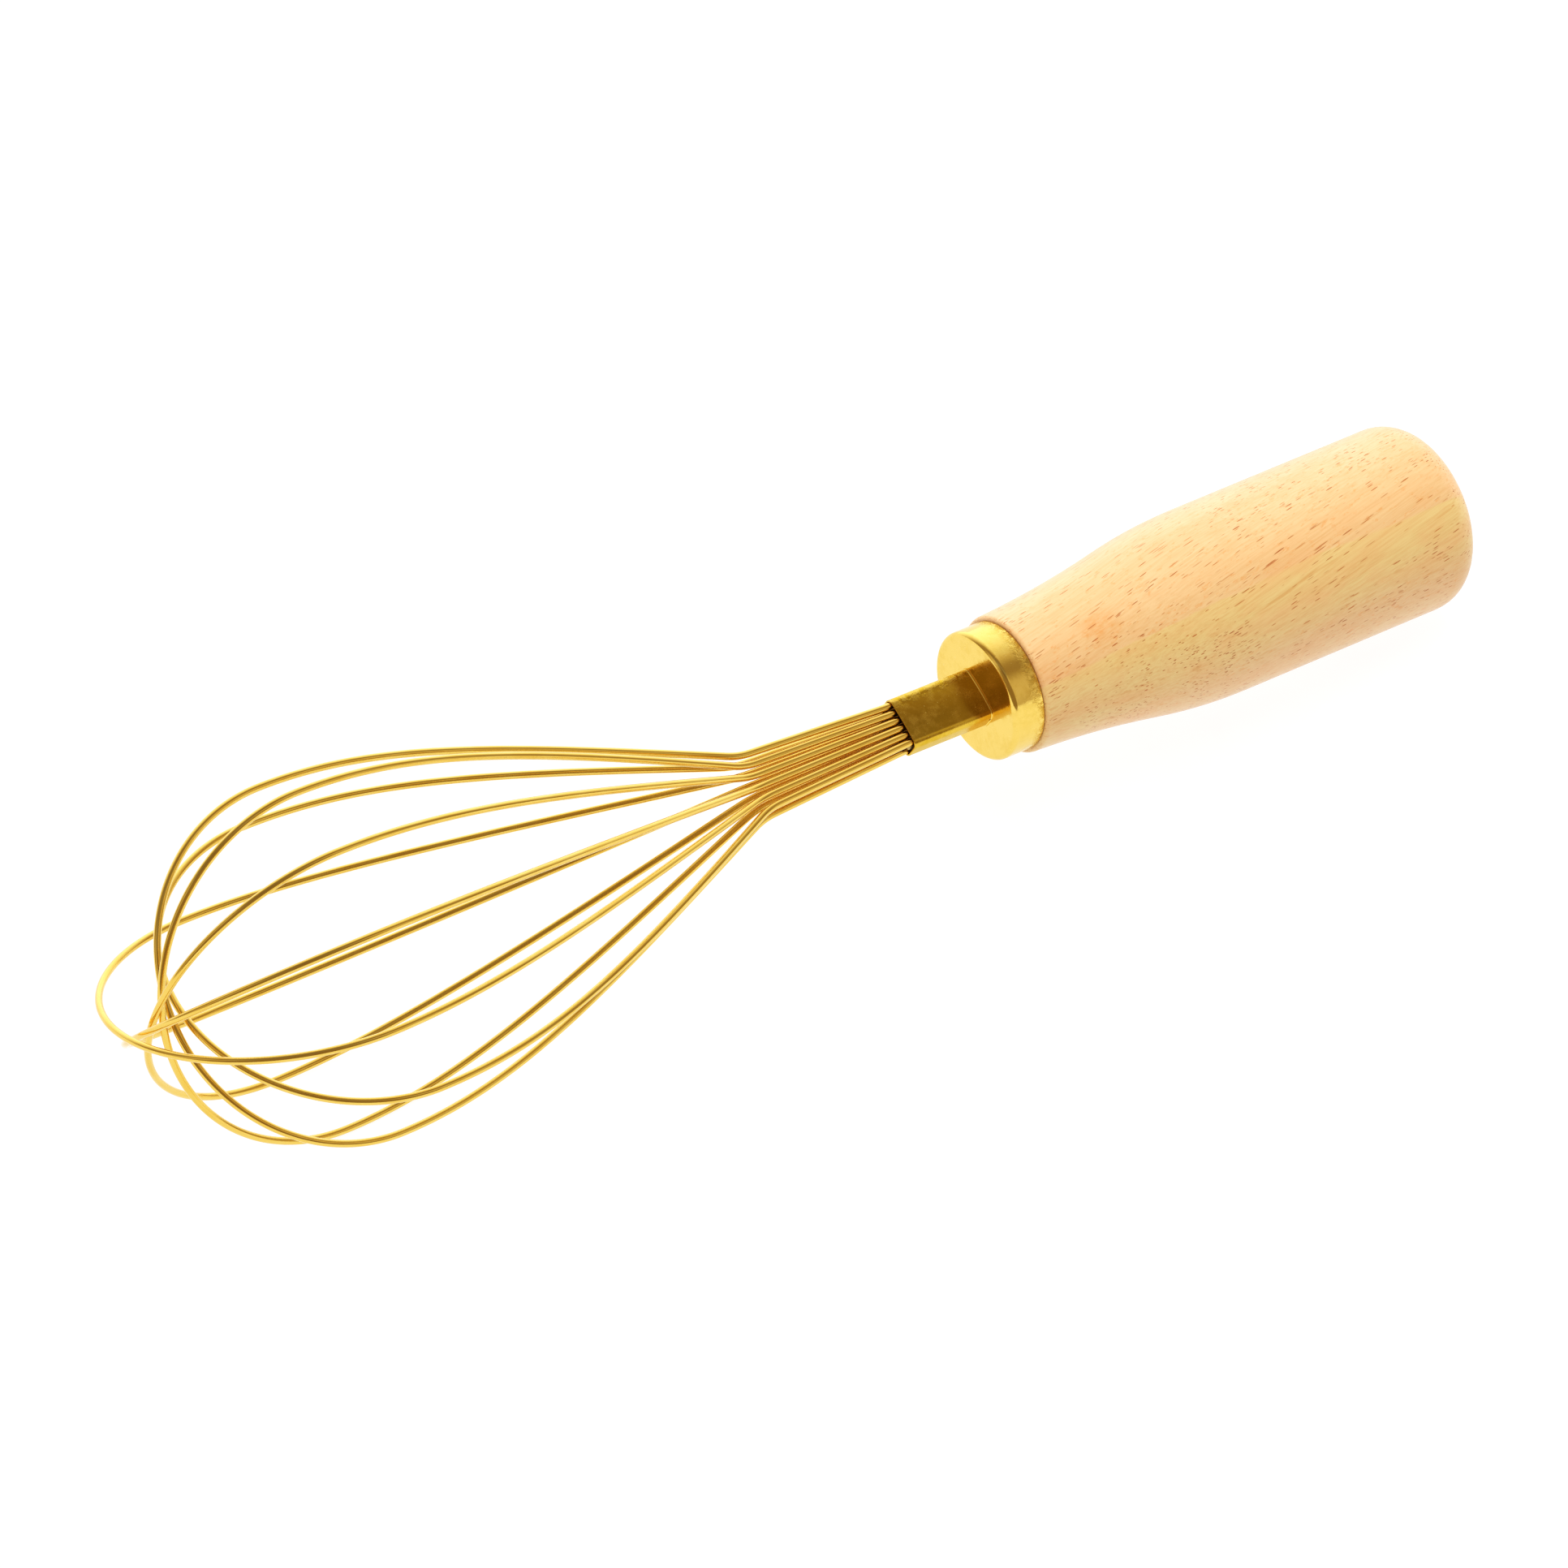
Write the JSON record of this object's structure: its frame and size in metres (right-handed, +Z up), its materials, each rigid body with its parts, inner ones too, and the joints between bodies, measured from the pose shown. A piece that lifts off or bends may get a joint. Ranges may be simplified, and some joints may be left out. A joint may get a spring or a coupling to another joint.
{
  "type": "balloon whisk",
  "caption": "Hand whisk with a balloon of crossing wire loops, a flat metal sleeve and cap, and a bottle-shaped turned wooden handle.",
  "frame": {"origin": "centre of the flat butt face of the handle, on the whisk's axis", "axes": "+X along the whisk from the butt towards the tip of the balloon, +Z up as the whisk lies on a table on two neighbouring wires and the edge of the butt"},
  "size_m": [0.266, 0.0618, 0.0608],
  "materials": {
    "wood": "clear satin lacquer over pale open-pored wood",
    "gold_metal": "polished gold-tone plating",
    "gold_wire": "bright gold-tone plated wire",
    "braze": "dull braze",
    "resin": "cast resin, hidden"
  },
  "bodies": {
    "root": {"handle": "wood", "cap": "gold_metal", "sleeve": "gold_metal", "solder_fill": "braze", "resin_plug": "resin", "wire_loop_1": "gold_wire", "wire_loop_2": "gold_wire", "wire_loop_3": "gold_wire", "wire_loop_4": "gold_wire", "wire_loop_5": "gold_wire", "wire_loop_6": "gold_wire"}
  },
  "joints": []
}
